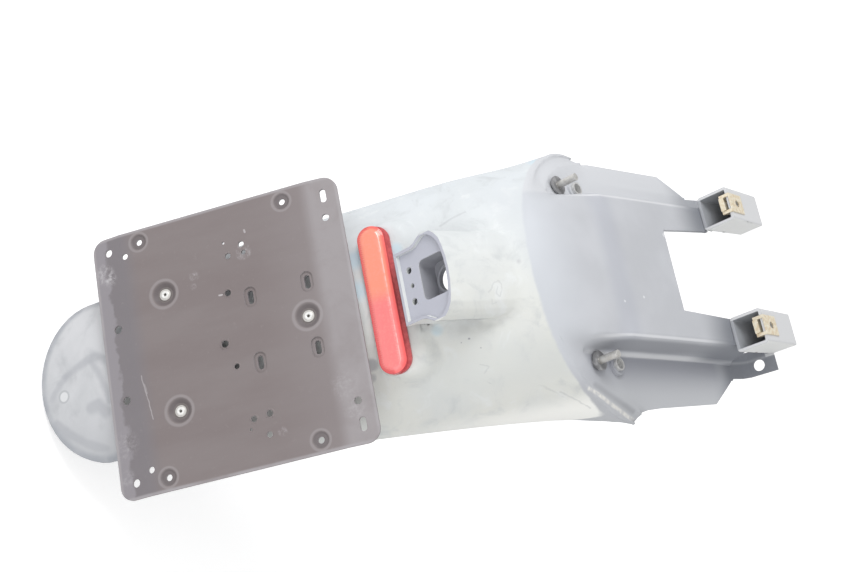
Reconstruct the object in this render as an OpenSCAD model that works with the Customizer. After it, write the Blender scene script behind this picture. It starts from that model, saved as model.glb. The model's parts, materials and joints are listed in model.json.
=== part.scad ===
// Rear fender of a scooter, as it sits on the vehicle: X to the right, Y forward, Z up.
// The origin lies midway between the screw holes of the two clip nuts, on top of the arm boxes.
// The rear of the moulding leans with the plate carrier and is laid out in the carrier's own
// frame: x across, y up along the plate, z out of it to the rear.

/* [Placing] */
// Lean of the plate carrier, measured from level
plate_lean = 62; // [58:0.5:66]

/* [Fender moulding] */
// Wall thickness of the moulding
wall = 2.8; // [2.4:0.1:3.2]
// Half width of the tail flap
tail_half_w = 67; // [60:1:72]
// Length of the tail flap's rounded end
tail_round = 57; // [48:1:62]
// Half width across the two wing tips
wing_half_w = 117; // [113:1:121]
// Half width of the raised plateau at its rear corners
plateau_half_w = 59.2; // [57:0.2:61]
// Half width of the gap between the arms
gap_half_w = 35; // [30:1:37]
// Depth of the gap, from the clip nuts back to its closed end
gap_depth = 67.4; // [55:1:75]

/* [Arm boxes] */
// Distance between the two clip nut holes
clip_spacing = 109; // [107:1:111]
// Width of an arm box
box_w = 30; // [26:0.5:31]
// Height of an arm box at its open end
box_h = 29; // [26:0.5:31]
// Rise of an arm box's floor towards its closed end, in degrees
box_rise = 7.5; // [5:0.5:8]
// Length of an arm box
box_len = 49; // [44:0.5:52]
// Wall of an arm box
box_wall = 2.6; // [2.2:0.1:3]

/* [Lamp hood] */
// Half width of the hood over the plate lamp
hood_half_w = 35; // [32:0.5:37]
// Half width of the lamp panel below the hood's shoulders
panel_half_w = 28.6; // [26:0.2:30]
// Rise of the hood's roof, in degrees
hood_rise = 21; // [16:0.5:23]
// Radius of the round hole behind the lamp pocket
lamp_hole_r = 9.7; // [8:0.1:10.5]

/* [Plate carrier] */
// Width of the carrier
plate_w = 214; // [206:1:222]
// Height of the carrier
plate_h = 210; // [206:1:214]
// Thickness of the carrier
plate_t = 2; // [1.6:0.1:2.4]
// Corner radius of the carrier
plate_corner_r = 11; // [6:0.5:15]

/* [Reflector] */
// Length of the reflector over its round ends
refl_len = 119; // [112:1:122]
// Width of the reflector
refl_w = 24; // [20:0.5:26]

/* [Fixings] */
// Radius of a pop rivet's head
rivet_head_r = 4.75; // [4:0.05:5.5]
// Radius of the bore in the steel collars
collar_bore_r = 4.2; // [3.2:0.1:4.4]
// Length of the bolt shank that stands above the side flange
bolt_stand = 19; // [14:0.5:22]

/* [Hidden] */
SIDES = [-1, 1];
EPS = 0.01;

// The carrier's centre on its front face
PLATE_AT = [0, -340.4, -273];

// Places on the carrier, x and y in its frame
RIVET_X = 47.7;
RIVET_LOW_Y = -49.2;
RIVET_TOP_Y = 64;
DIMPLE_DEPTH = 3;
DIMPLE_TOP_R = 10.5;
DIMPLE_FLOOR_R = 6.5;
PLATE_MID_Y = -1.3;
PAD_Z = -plate_t - DIMPLE_DEPTH;

// Reflector and its plinth, in the carrier's frame
REFL_Y = 123.5;
REFL_SEAT_Z = -13;
REFL_STUD_X = 36;
NUT_SEAT_Z = -20;
PLINTH_X = 45;
PLINTH_Y = 134;
PLINTH_R = 20;

// Lamp panel and hood, in the vehicle frame
PANEL_Y = -273;
LIP_Y = -275.5;
PANEL_BOTTOM = -151;
SHOULDER_Z = -119;
HOOD_TOP = -101;
HOOD_WALL = 2.4;
POCKET_DEPTH = 18;
POCKET_HALF_W = 15.8;
POCKET_LOW = -130.3;
POCKET_HIGH = -105.5;

// Side flange fixings, in the vehicle frame
BOLT_AT = [73.3, -156, -71];
COLLAR_AT = [74.4, -131, -69.5];
EAR_HOLE = [74.7, 33.9, -37.3];
EAR_LEAN = 77.9;

// Open rear end of the arm boxes
BOX_END = -10.7;

// Clip nut sheet, whose upper face is the height Z = 0
CLIP_T = 1;
CLIP_HOLE_R = 3;
CLIP_HALF_W = 8.4;
BOX_TOP = -CLIP_T;

// Small functions
function lerp(a, b, t) = a * (1 - t) + b * t;
function to_vehicle(p) = [p[0],
    PLATE_AT[1] + p[1] * cos(plate_lean) - p[2] * sin(plate_lean),
    PLATE_AT[2] + p[1] * sin(plate_lean) + p[2] * cos(plate_lean)];
function spline(keys, i, t) =
    let (last = len(keys) - 1,
        a = keys[max(i - 1, 0)], b = keys[i], c = keys[min(i + 1, last)], d = keys[min(i + 2, last)])
    0.5 * (2 * b + (c - a) * t + (2 * a - 5 * b + 4 * c - d) * t * t
        + (3 * b - a - 3 * c + d) * t * t * t);

// Stations of the arched rear, in the carrier's frame:
// y and z of the crown, half width, y and z of the edge, and how square the arch is
REAR = [
    [-180, -24, tail_half_w, -180, -40, 2.3],
    [-120, -13, tail_half_w, -120, -29, 2.3],
    [-60, -9, 77, -60, -36, 2.3],
    [0, -8.5, 86, 0, -44, 2.3],
    [65, -9, 92.4, 66, -54, 2.2],
    [125, -12, 97.2, 124, -63.5, 2.2],
    [180, -14, 102.7, 184, -76, 2.1],
    [214, -15, 107.6, 234, -97.3, 1.9],
    [237, -16.5, wing_half_w, 276, -124, 1.85]];
REAR_STEPS = 3;
HALF = 14;

// One half row of the arch, from the crown to the edge
function arch_row(s) = [for (k = [0:HALF])
    let (q = sin(90 * k / HALF), g = 1 - sqrt(max(0, 1 - pow(q, s[5]))))
    to_vehicle([s[2] * q, lerp(s[0], s[3], g), lerp(s[1], s[4], g)])];
rear_rows = [for (i = [0:len(REAR) - 2], t = [0:REAR_STEPS - 1])
    arch_row(spline(REAR, i, t / REAR_STEPS))];
arc_row = arch_row(REAR[len(REAR) - 1]);

// One half row of the front: crown, plateau edge, foot of its side wall, and flange edge,
// each as [x, y, z]
function front_row(crown, ridge, foot, edge) = concat(
    [for (k = [0:3]) let (f = k / 4)
        [ridge[0] * f, lerp(crown[1], ridge[1], f * f), lerp(crown[2], ridge[2], f * f)]],
    [ridge - [3, 0, 0], ridge + [0.6, 0, -1], ridge + [2.4, 0, -4.2]],
    [foot + [-0.5, 0, 3.5], foot + [3, 0, 0]],
    [for (f = [[0.2, 0.6], [0.42, 1.3], [0.47, 1.3], [0.7, 0.7], [0.9, 0.2], [1, 0]])
        lerp(foot + [3, 0, 0], edge, f[0]) + [0, 0, f[1]]]);
FRONT = [
    front_row([0, -152, -46.5], [plateau_half_w, -138, -46], [64, -138, -71.5], [107.5, -91, -78.5]),
    front_row([0, -90, -40.5], [plateau_half_w + 1.1, -90, -40], [65, -90, -65.5], [106.5, -78, -75]),
    front_row([0, -10, -29.8], [plateau_half_w + 2.2, -10, -31], [67.5, -10, -56], [104, -10, -61.5]),
    front_row([0, 13, -27.3], [plateau_half_w + 2.8, 13, -29.5], [69, 13, -53], [103, 13, -57])];
BEND = [for (k = [0:6]) [0,
    [-199, -198.5, -196.5, -192.5, -186, -180, -174][k], [-56.5, -56.6, -57.2, -58.8, -62.5, -67, -71][k]]];
// Rear foot of the pocket round the side fixings, from the plateau's wall to the wing tip
POCKET = [[64.5, -170, -72.5], [74.5, -166, -73], [81.5, -158, -73.5], [88, -148.5, -74.3], [93, -138, -75],
    [97.5, -125.5, -76], [102, -110, -78.5], [108.5, -95, -82]];
// Rim between the arc and the pocket: how far across, and how high above the straight line
RIM = [[0.15, 0.2], [0.24, -2.4], [0.6, -1.2], [0.82, 1.2], [1, -0.3]];
BEND_AT = [0.08, 0.16, 0.28, 0.4, 0.52, 0.76, 1];
bend_rows = [for (i = [0:len(BEND_AT) - 1]) let (t = BEND_AT[i])
    [for (k = [0:HALF]) k < 7
        ? let (p = (1 - t) * (1 - t) * arc_row[k] + 2 * t * (1 - t) * BEND[k] + t * t * FRONT[0][k])
            [lerp(FRONT[0][k][0], arc_row[k][0], pow(1 - t, 5)), p[1], p[2]]
        : i < 5 ? lerp(arc_row[k], POCKET[k - 7], RIM[i][0]) + [0, 0, RIM[i][1] * (k == 7 ? 0.5 : 1)]
            : lerp(POCKET[k - 7], FRONT[0][k], i == 5 ? 0.5 : 1)]];
half_rows = concat(rear_rows, [arc_row], bend_rows, [for (i = [1:len(FRONT) - 1]) FRONT[i]]);

// The whole outer face as a grid, and the same grid one wall thickness deeper
function whole_row(r) = concat([for (k = [HALF:-1:1]) [-r[k][0], r[k][1], r[k][2]]], r);
outer_grid = [for (r = half_rows) whole_row(r)];
ROWS = len(outer_grid);
COLS = 2 * HALF + 1;
function grid_normal(g, i, j) =
    let (a = g[min(i + 1, ROWS - 1)][j] - g[max(i - 1, 0)][j],
        b = g[i][min(j + 1, COLS - 1)] - g[i][max(j - 1, 0)], n = cross(a, b))
    n / norm(n);
function sunk_grid(depth) = [for (i = [0:ROWS - 1])
    [for (j = [0:COLS - 1]) outer_grid[i][j] + depth * grid_normal(outer_grid, i, j)]];

// A closed solid between two grids of the same size
module between(top, under) {
    count = ROWS * COLS;
    points = concat([for (r = top) each r], [for (r = under) each r]);
    function id(i, j) = i * COLS + j;
    skins = [for (i = [0:ROWS - 2], j = [0:COLS - 2], half = [0:1], deep = [0:1])
        let (a = id(i, j), b = id(i, j + 1), c = id(i + 1, j + 1), d = id(i + 1, j),
            f = half == 0 ? [a, c, b] : [a, d, c])
        deep == 0 ? f : [f[2] + count, f[1] + count, f[0] + count]];
    ring = concat([for (j = [0:COLS - 2]) id(0, j)], [for (i = [0:ROWS - 2]) id(i, COLS - 1)],
        [for (j = [COLS - 1:-1:1]) id(ROWS - 1, j)], [for (i = [ROWS - 1:-1:1]) id(i, 0)]);
    sides = [for (k = [0:len(ring) - 1], half = [0:1])
        let (a = ring[k], b = ring[(k + 1) % len(ring)])
        half == 0 ? [a, b, b + count] : [a, b + count, a + count]];
    polyhedron(points, concat(skins, sides), convexity = 12);
}

// Moves its children into the carrier's frame
module on_plate(x = 0, y = 0, z = 0)
    translate(PLATE_AT) rotate([plate_lean, 0, 0]) translate([x, y, z]) children();

module rounded_square(w, h, r) {
    square([w - 2 * r, h], center = true);
    square([w, h - 2 * r], center = true);
    for (x = SIDES, y = SIDES) translate([x * (w / 2 - r), y * (h / 2 - r)]) circle(r, $fn = 32);
}

module stadium(length, width) {
    square([length - width, width], center = true);
    for (x = SIDES) translate([x * (length - width) / 2, 0]) circle(width / 2, $fn = 48);
}

// Outline of the hood and the lamp panel below it, seen from behind; inset moves it inwards
module hood_outline(inset = 0) {
    w = hood_half_w - inset;
    p = panel_half_w - inset;
    top = HOOD_TOP - inset;
    half = [[0, top], [0.28 * w, top - 0.6], [0.52 * w, top - 2], [0.72 * w, top - 4],
        [0.87 * w, top - 7.6], [0.96 * w, top - 11.5], [w, SHOULDER_Z + 1], [w - 0.4, SHOULDER_Z - 3],
        [lerp(w, p, 0.45), SHOULDER_Z - 7], [lerp(w, p, 0.85), SHOULDER_Z - 11],
        [p, SHOULDER_Z - 15], [p, PANEL_BOTTOM + inset]];
    polygon(concat(half, [for (i = [len(half) - 1:-1:0]) [-half[i][0], half[i][1]]]));
}

// Runs an outline, drawn x and z, forward along the hood's rising line, from y0 for a length
module along_hood(y0, length, rise = hood_rise)
    multmatrix([[1, 0, 0, 0], [0, 0, 1, y0], [0, 1, tan(rise), 0], [0, 0, 0, 1]])
        linear_extrude(length) children();

// Everything on the wheel's side of the moulding's inner face
module wheel_side() between(sunk_grid(wall - EPS), [for (i = [0:ROWS - 1]) [for (j = [0:COLS - 1])
    let (p = outer_grid[i][j])
    [p[0] * 0.98, lerp(p[1], -120, 0.3) + 40, p[2] - 170 + 0.25 * (p[2] + 100)]]]);

module tail_cut() on_plate() translate([0, 0, -80]) linear_extrude(120)
    difference() {
        translate([-120, -260]) square([240, 142]);
        polygon([for (a = [180:7.5:360]) [(tail_half_w + 0.5) * cos(a), -118 + tail_round * sin(a)]]);
    }

module front_cut() {
    translate([0, 0, -120]) linear_extrude(160) {
        polygon([[-gap_half_w, -gap_depth], [gap_half_w, -gap_depth], [gap_half_w + 4.4, -11],
            [gap_half_w + 4.6, 60], [-gap_half_w - 4.6, 60], [-gap_half_w - 4.4, -11]]);
        for (s = SIDES) polygon([[s * 110, -14], [s * 103.5, -10], [s * 84.5, 11], [s * 84.5, 60],
            [s * 130, 60], [s * 130, -14]]);
    }
    for (s = SIDES) translate([s * 46.5 - 8, BOX_END + 4, -48]) cube([16, 60, 46]);
}

// Raised seats on the outer face
module rivet_pads()
    for (p = [[-RIVET_X, RIVET_LOW_Y, 14], [RIVET_X, RIVET_LOW_Y, 14], [0, RIVET_TOP_Y, 10]])
        on_plate(p[0], p[1], PAD_Z - p[2]) cylinder(h = p[2], r = 8, $fn = 40);

module plinth() on_plate(0, 0, REFL_SEAT_Z - 16) difference() {
    union() {
        for (s = SIDES) translate([s * PLINTH_X, PLINTH_Y, 0]) {
            cylinder(h = 12, r = PLINTH_R, $fn = 64);
            translate([0, 0, 12]) cylinder(h = 4, r1 = PLINTH_R, r2 = PLINTH_R - 4.5, $fn = 64);
        }
        translate([0, REFL_Y + 4, 0]) linear_extrude(16) stadium(refl_len + 4, refl_w + 12);
    }
}

// Form of an arm box from its open rear end: level top, rising floor, sides that close in a little
module box_form(s, inset, length, r) translate([s * clip_spacing / 2, BOX_END, BOX_TOP]) intersection() {
    translate([0, -inset * EPS, -inset - 30]) rotate([-90, 0, 0])
        linear_extrude(length) rounded_square(box_w - 2 * inset, 60, r);
    translate([0, 0, -box_h]) rotate([box_rise, 0, 0]) translate([0, -20, inset + 30]) rotate([-90, 0, 0])
        linear_extrude(100) rounded_square(box_w - 2 * inset, 60, r);
    translate([0, 0, -40]) linear_extrude(50)
        polygon([for (p = [[1, -10, 0.25], [1, 60, -1.5], [-1, 60, -1.5], [-1, -10, 0.25]])
            [p[0] * (box_w / 2 - inset + p[2]), p[1]]]);
}

// Ear beside each box: a strip that carries the side flange on and then rises steeply to the box
module ear(s) translate([s * 72, 0, 0]) rotate([90, 0, 90]) linear_extrude(21.6, center = true)
    polygon([[8, -54.9], [13, -53.4], [27.5, -49.6], [32.2, -45.4], [37, -23],
        [39.7, -23.6], [34.7, -47], [28.5, -52.3], [8, -56.8]]);

// Root that joins an arm to the floor of its box
module box_root(s) translate([s * 53 - 9, -10, -34.5]) cube([18, 19, 6.5]);

// Ribs under the plateau
module ribs() for (x = [-40, -14, 14, 40]) translate([x - 1, 0, 0]) rotate([90, 0, 90]) linear_extrude(2)
    polygon([[-150, -48], [-gap_depth - 3, -39], [-gap_depth - 3, -47], [-150, -60]]);

module fender_body() color("dimgray") {
    difference() {
        union() {
            difference() {
                union() {
                    between(outer_grid, sunk_grid(wall));
                    difference() {
                        union() {
                            plinth();
                            along_hood(LIP_Y, 95) hood_outline();
                        }
                        wheel_side();
                    }
                    ribs();
                }
                tail_cut();
                front_cut();
                along_hood(LIP_Y - EPS, 95) hood_outline(HOOD_WALL);
            }
            along_hood(PANEL_Y, 2.6, 0) hood_outline(HOOD_WALL - 0.3);
            translate([0, PANEL_Y + 1, 0]) lamp_pocket(HOOD_WALL, POCKET_DEPTH + HOOD_WALL - 1);
            rivet_pads();
            for (s = SIDES) {
                box_form(s, 0, box_len, 3);
                ear(s);
                box_root(s);
                translate([s * COLLAR_AT[0], COLLAR_AT[1], COLLAR_AT[2] - 8])
                    cylinder(h = 7, r = 8.6, $fn = 48);
                on_plate(s * REFL_STUD_X, REFL_Y, NUT_SEAT_Z) cylinder(h = 8, r = 7, $fn = 48);
            }
        }
        translate([0, PANEL_Y - EPS, 0]) lamp_pocket(0, POCKET_DEPTH + EPS);
        lamp_holes();
        for (s = SIDES) {
            box_form(s, box_wall, box_len - box_wall, 1);
            translate([s * clip_spacing / 2, 0, BOX_TOP - box_wall - 1])
                cylinder(h = box_wall + 2, r = 3.8, $fn = 32);
            translate([s * BOLT_AT[0], BOLT_AT[1], BOLT_AT[2]]) {
                translate([0, 0, -12]) cylinder(h = 24, r = 6, $fn = 48);
                translate([0, 0, 0.4]) cylinder(h = 12, r = 8.3, $fn = 48);
                translate([0, 0, -16.6]) cylinder(h = 12, r = 8.3, $fn = 48);
            }
            translate([s * COLLAR_AT[0], COLLAR_AT[1], COLLAR_AT[2] - 12])
                cylinder(h = 24, r = 5.6, $fn = 48);
            translate([s * EAR_HOLE[0], EAR_HOLE[1], EAR_HOLE[2]]) rotate([EAR_LEAN, 0, 0])
                cylinder(h = 12, r = 5, center = true, $fn = 48);
            on_plate(s * REFL_STUD_X, REFL_Y, -40) cylinder(h = 40, r = 2.8, $fn = 32);
            on_plate(s * RIVET_X, RIVET_LOW_Y, -30) cylinder(h = 30, r = 2.45, $fn = 32);
        }
        on_plate(0, RIVET_TOP_Y, -30) cylinder(h = 30, r = 2.45, $fn = 32);
    }
}

// Square pocket that takes the back of the plate lamp
module lamp_pocket(grow, depth)
    translate([0, 0, (POCKET_LOW + POCKET_HIGH) / 2]) rotate([-90, 0, 0])
    linear_extrude(depth)
        rounded_square(2 * (POCKET_HALF_W + grow), POCKET_HIGH - POCKET_LOW + 2 * grow, 4.5);

module lamp_holes() translate([0, PANEL_Y, 0]) rotate([-90, 0, 0]) {
    translate([0, 117, 0]) cylinder(h = 60, r = lamp_hole_r, $fn = 64);
    for (s = SIDES) translate([s * 12.3, 140.5, -5]) cylinder(h = 60, r = 2.6, $fn = 32);
    translate([0, 139.8, -5]) cylinder(h = 60, r = 1.8, $fn = 32);
}

module plate_carrier() color([0.16, 0.14, 0.14]) on_plate() difference() {
    intersection() {
        union() {
            translate([-plate_w / 2, 0, 0]) rotate([90, 0, 90]) linear_extrude(plate_w)
                polygon([[PLATE_MID_Y - plate_h / 2, -3], [-81, 0], [79, 0],
                    [PLATE_MID_Y + plate_h / 2, -3], [PLATE_MID_Y + plate_h / 2, -3 - plate_t],
                    [79, -plate_t], [-81, -plate_t], [PLATE_MID_Y - plate_h / 2, -3 - plate_t]]);
            carrier_dimples(0);
        }
        translate([0, PLATE_MID_Y, -20]) linear_extrude(40)
            rounded_square(plate_w, plate_h, plate_corner_r);
    }
    carrier_dimples(1);
    carrier_holes();
}

// Pressed seats: the part behind the sheet when cut is 0, the hollow in front when it is 1
module carrier_dimples(cut) {
    for (p = [[-RIVET_X, RIVET_LOW_Y], [RIVET_X, RIVET_LOW_Y], [0, RIVET_TOP_Y]])
        translate([p[0], p[1], cut == 1 ? -DIMPLE_DEPTH : PAD_Z])
            cylinder(h = DIMPLE_DEPTH + cut * EPS, r1 = DIMPLE_FLOOR_R + 1 - cut, r2 = DIMPLE_TOP_R,
                $fn = 48);
    for (x = SIDES, y = [-65.1, 58.2]) translate([x * 96.4, y, cut == 1 ? -1.2 : -plate_t - 1.2])
        cylinder(h = 1.2 + cut * EPS, r1 = 5.2, r2 = 7, $fn = 40);
    for (x = SIDES, y = [21.1, 68]) translate([x * 26.5, y, cut == 1 ? -1.2 : -plate_t - 1.2])
        linear_extrude(1.2 + cut * EPS) stadium(17.5 - cut, 11 - cut);
}

module carrier_holes() {
    module hole(x, y, r) translate([x, y, -12]) cylinder(h = 20, r = r, $fn = 32);
    for (p = [[-RIVET_X, RIVET_LOW_Y], [RIVET_X, RIVET_LOW_Y], [0, RIVET_TOP_Y]]) hole(p[0], p[1], 2.45);
    for (s = SIDES) {
        for (p = [[96.4, -65.1, 2.6], [96.4, 58.2, 2.6], [94.5, -92.3, 3.2], [87.5, -78.1, 2.6],
                [29.2, -92, 3.4], [73.8, 91, 2.9]])
            hole(s * p[0], p[1], p[2]);
        for (y = [21.1, 68]) translate([s * 26.5, y, -12]) linear_extrude(20) stadium(11, 4.6);
        translate([s * 92, 91.9, -12]) linear_extrude(20) stadium(11, 5);
    }
    for (p = [[-75.7, 5.6, 1.1], [-71, 20.1, 2.4], [-64, 8, 2.6], [-63.6, 21.1, 2.2],
            [-34.3, 3.5, 2.8], [5.4, -4.8, 3.1], [25.1, 2, 2.4], [67.3, 22.3, 2.8], [68.6, 9.3, 2.6],
            [76, 5.8, 1.1], [83.1, 19.9, 2.6]])
        hole(p[0], p[1], p[2]);
}

module rivet(x, y, grip) color("silver") on_plate(x, y, -DIMPLE_DEPTH) difference() {
    union() {
        cylinder(h = 0.7, r = rivet_head_r, $fn = 40);
        translate([0, 0, 0.7]) cylinder(h = 0.6, r1 = rivet_head_r, r2 = 2.6, $fn = 40);
        translate([0, 0, -grip]) cylinder(h = grip, r = 2.4, $fn = 40);
        translate([0, 0, -grip - 2.5]) cylinder(h = 2.5, r = 4, $fn = 40);
    }
    translate([0, 0, -grip - 3]) cylinder(h = grip + 5, r = 1.2, $fn = 24);
}

module rivet_left() rivet(-RIVET_X, RIVET_LOW_Y, 16);
module rivet_right() rivet(RIVET_X, RIVET_LOW_Y, 16);
module rivet_top() rivet(0, RIVET_TOP_Y, 12);

module reflector_lens() color("red") on_plate(0, REFL_Y, REFL_SEAT_Z + 2) difference() {
    union() {
        linear_extrude(3) stadium(refl_len, refl_w);
        translate([0, 0, 3]) linear_extrude(1) stadium(refl_len - 1.2, refl_w - 1.2);
        translate([0, 0, 4]) linear_extrude(1) stadium(refl_len - 3.6, refl_w - 3.6);
    }
    translate([0, 0, -EPS]) linear_extrude(2) stadium(refl_len - 4, refl_w - 4);
}

module reflector_back() color([0.2, 0.05, 0.05]) on_plate(0, REFL_Y, REFL_SEAT_Z) {
    linear_extrude(2) stadium(refl_len, refl_w);
    for (s = SIDES) translate([s * REFL_STUD_X, 0, -13]) cylinder(h = 14, r = 2.5, $fn = 32);
}

module reflector_nut(s) color("silver") on_plate(s * REFL_STUD_X, REFL_Y, NUT_SEAT_Z - 4) difference() {
    cylinder(h = 4, r = 4.6, $fn = 6);
    translate([0, 0, -1]) cylinder(h = 6, r = 2.5, $fn = 32);
}
module reflector_nut_left() reflector_nut(-1);
module reflector_nut_right() reflector_nut(1);

module clip_nut(s) color("goldenrod") translate([s * clip_spacing / 2, 0, BOX_TOP]) difference() {
    union() {
        translate([-CLIP_HALF_W, BOX_END - CLIP_T, 0]) cube([2 * CLIP_HALF_W, 20.5, CLIP_T]);
        for (x = [-CLIP_HALF_W, CLIP_HALF_W - 2.7])
            translate([x, BOX_END - CLIP_T, -8.6]) cube([2.7, CLIP_T, 9.1]);
        translate([-CLIP_HALF_W, 0, 0]) rotate([90, 0, 90]) linear_extrude(2 * CLIP_HALF_W)
            polygon([[BOX_END - CLIP_T, -8.6], [BOX_END, -8.6], [-3, -box_wall - CLIP_T],
                [8, -box_wall - CLIP_T], [8, -box_wall], [-3.4, -box_wall], [BOX_END - CLIP_T, -7.4]]);
        translate([-5.6, 0, 0]) rotate([90, 0, 90]) linear_extrude(11.2)
            polygon([[BOX_END - 1, -8.6], [BOX_END - 2.4, -8.6], [BOX_END - 2.4, -4.2],
                [BOX_END - 1.4, -4.2], [BOX_END - 1.4, -7.4], [BOX_END, -7.4]]);
        translate([0, 0, -box_wall - CLIP_T - 6]) cylinder(h = 6.5, r = 4.4, $fn = 32);
    }
    translate([0, 0, -20]) cylinder(h = 30, r = CLIP_HOLE_R, $fn = 32);
}
module clip_nut_left() clip_nut(-1);
module clip_nut_right() clip_nut(1);

module collar(s) color("gray") translate([s * COLLAR_AT[0], COLLAR_AT[1], COLLAR_AT[2] - 8]) difference() {
    cylinder(h = 9.2, r = 5.6, $fn = 48);
    translate([0, 0, -1]) cylinder(h = 12, r = collar_bore_r, $fn = 48);
}
module collar_left() collar(-1);
module collar_right() collar(1);

module grommet(s) color([0.1, 0.1, 0.1]) translate([s * BOLT_AT[0], BOLT_AT[1], BOLT_AT[2]]) difference() {
    union() {
        translate([0, 0, -6.4]) cylinder(h = 7.4, r = 6, $fn = 48);
        translate([0, 0, 0.4]) cylinder(h = 1.4, r = 8, $fn = 48);
        translate([0, 0, -6.4]) cylinder(h = 1.8, r = 8, $fn = 48);
    }
    translate([0, 0, -8]) cylinder(h = 20, r = 3.3, $fn = 48);
}
module grommet_left() grommet(-1);
module grommet_right() grommet(1);

module bolt(s) color([0.25, 0.24, 0.23]) translate([s * BOLT_AT[0], BOLT_AT[1], BOLT_AT[2]]) {
    translate([0, 0, -8]) cylinder(h = 9.8, r = 3.2, $fn = 40);
    translate([0, 0, 1]) cylinder(h = 2, r = 2.5, $fn = 40);
    translate([0, 0, 2.6]) cylinder(h = bolt_stand - 2.6, r = 3, $fn = 40);
    translate([0, 0, -8]) cylinder(h = 1.6, r = 7, $fn = 48);
    translate([0, 0, -13]) cylinder(h = 5, r = 5.2, $fn = 6);
}
module bolt_left() bolt(-1);
module bolt_right() bolt(1);

fender_body();
plate_carrier();
rivet_left();
rivet_right();
rivet_top();
reflector_lens();
reflector_back();
reflector_nut_left();
reflector_nut_right();
clip_nut_left();
clip_nut_right();
collar_left();
collar_right();
grommet_left();
grommet_right();
bolt_left();
bolt_right();
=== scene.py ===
"""Looks of a weathered scooter rear fender, built over its CAD frame.

Tables are in millimetres on the vehicle's frame, unless they name the carrier's. The scene is in metres.
Colours are display values, 0 to 255.
"""
import json
import math

import bmesh
import bpy
import numpy as np
from mathutils import Matrix, Vector, noise


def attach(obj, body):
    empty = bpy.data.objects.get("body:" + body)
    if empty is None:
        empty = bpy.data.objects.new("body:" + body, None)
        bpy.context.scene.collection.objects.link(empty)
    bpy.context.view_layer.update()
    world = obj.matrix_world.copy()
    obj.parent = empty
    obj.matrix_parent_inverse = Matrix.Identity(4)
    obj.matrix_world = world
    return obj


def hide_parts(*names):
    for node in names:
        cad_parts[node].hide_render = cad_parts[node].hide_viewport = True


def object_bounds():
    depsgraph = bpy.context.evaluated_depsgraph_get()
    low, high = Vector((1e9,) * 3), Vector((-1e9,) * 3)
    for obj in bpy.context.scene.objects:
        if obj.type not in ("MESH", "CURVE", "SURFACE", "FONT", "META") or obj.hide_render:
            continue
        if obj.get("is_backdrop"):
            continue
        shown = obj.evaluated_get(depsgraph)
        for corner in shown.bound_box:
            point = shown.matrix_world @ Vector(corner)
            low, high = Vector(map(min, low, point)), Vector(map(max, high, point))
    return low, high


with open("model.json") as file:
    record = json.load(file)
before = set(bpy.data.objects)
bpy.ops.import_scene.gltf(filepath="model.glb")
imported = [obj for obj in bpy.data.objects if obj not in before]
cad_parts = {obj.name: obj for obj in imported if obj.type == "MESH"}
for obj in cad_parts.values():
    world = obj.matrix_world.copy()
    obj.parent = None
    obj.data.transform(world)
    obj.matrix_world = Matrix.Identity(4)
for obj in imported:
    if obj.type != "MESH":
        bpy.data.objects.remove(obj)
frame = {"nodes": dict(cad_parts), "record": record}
nodes = frame["nodes"]
size_at_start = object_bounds()
scene = bpy.context.scene
replaced = set()

MM = 0.001

# The plate carrier's own frame: x across, y up along the plate, z out of it to the rear
PLATE_AT = Vector((0, -340.4, -273)) * MM
LEAN = math.radians(62)
PLATE_UP = Vector((0, math.cos(LEAN), math.sin(LEAN)))
PLATE_OUT = Vector((0, -math.sin(LEAN), math.cos(LEAN)))

# Front of the hood's lip, back wall of the lamp pocket and its hole
LIP_Y = -275.5
POCKET_BACK_Y = -255
LAMP_HOLE = (0, -117)

# Reflector lens: place up and out of the carrier, length and width
REFL_AT = (121.4, -11)
REFL_LEN = 119
REFL_W = 21.6

# Rivets on the carrier, and the depth of the dimples that they sit in
RIVETS = {"rivet_left": (-47.7, -49.2), "rivet_right": (47.7, -49.2), "rivet_top": (0, 64)}
DIMPLE_DEPTH = 3

# Middle of an arm box from the vehicle's middle
BOX_X = 54.5


def on_plate(x, y, z=0.0):
    """A point in the carrier's frame, in millimetres, to the vehicle frame in metres."""
    return PLATE_AT + (Vector((x, 0, 0)) + PLATE_UP * y + PLATE_OUT * z) * MM


def srgb(r, g, b):
    """A linear colour from display values, 0 to 255."""
    def one(v):
        v /= 255.0
        return v / 12.92 if v <= 0.04045 else ((v + 0.055) / 1.055) ** 2.4
    return (one(r), one(g), one(b), 1.0)


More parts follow.
